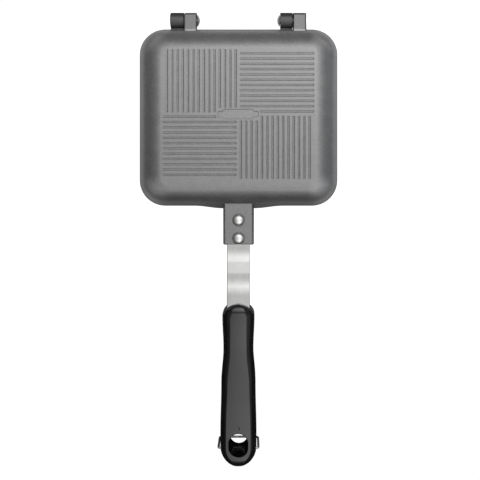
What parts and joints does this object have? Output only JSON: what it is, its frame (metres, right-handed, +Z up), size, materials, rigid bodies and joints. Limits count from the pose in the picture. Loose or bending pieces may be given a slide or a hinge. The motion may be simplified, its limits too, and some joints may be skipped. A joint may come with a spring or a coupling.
{
  "type": "camping toaster",
  "caption": "Closed hinged sandwich toaster for a stove: grooved square cast pans, bent straps, black grips with a hanging slot and a wire latch.",
  "frame": {"origin": "on the plane the lower pan rests on, halfway along the toaster and on its middle line", "axes": "+Z up out of the resting face, +Y along the handles towards the hinge, +X to the right"},
  "size_m": [0.167, 0.379, 0.042],
  "materials": {
    "pan_coating": "grey non-stick coating on cast aluminium",
    "pin_steel": "polished head",
    "strap_aluminium": "satin rolled bar",
    "rivet_metal": "polished head",
    "grip_phenolic": "black phenolic moulding, satin faces",
    "bail_wire": "bright drawn wire"
  },
  "bodies": {
    "lower_half": {"lower_pan": "pan_coating", "lower_hinge_pin": "pin_steel", "lower_strap": "strap_aluminium", "lower_front_rivet": "rivet_metal", "lower_rear_rivet": "rivet_metal", "lower_grip": "grip_phenolic"},
    "upper_half": {"upper_pan": "pan_coating", "upper_hinge_pin": "pin_steel", "upper_strap": "strap_aluminium", "upper_front_rivet": "rivet_metal", "upper_rear_rivet": "rivet_metal", "upper_grip": "grip_phenolic"},
    "bail": {"latch_bail": "bail_wire"}
  },
  "joints": [
    {"name": "pan_hinge", "type": "hinge", "parent": "lower_half", "child": "upper_half", "pos_m": [0, 0.183, 0.021], "axis": [-1, 0, 0], "range_deg": [0, 180]},
    {"name": "bail_pivot", "type": "hinge", "parent": "upper_half", "child": "bail", "pos_m": [0, -0.1743, 0.0298], "axis": [-1, 0, 0], "range_deg": [0, 248]}
  ]
}
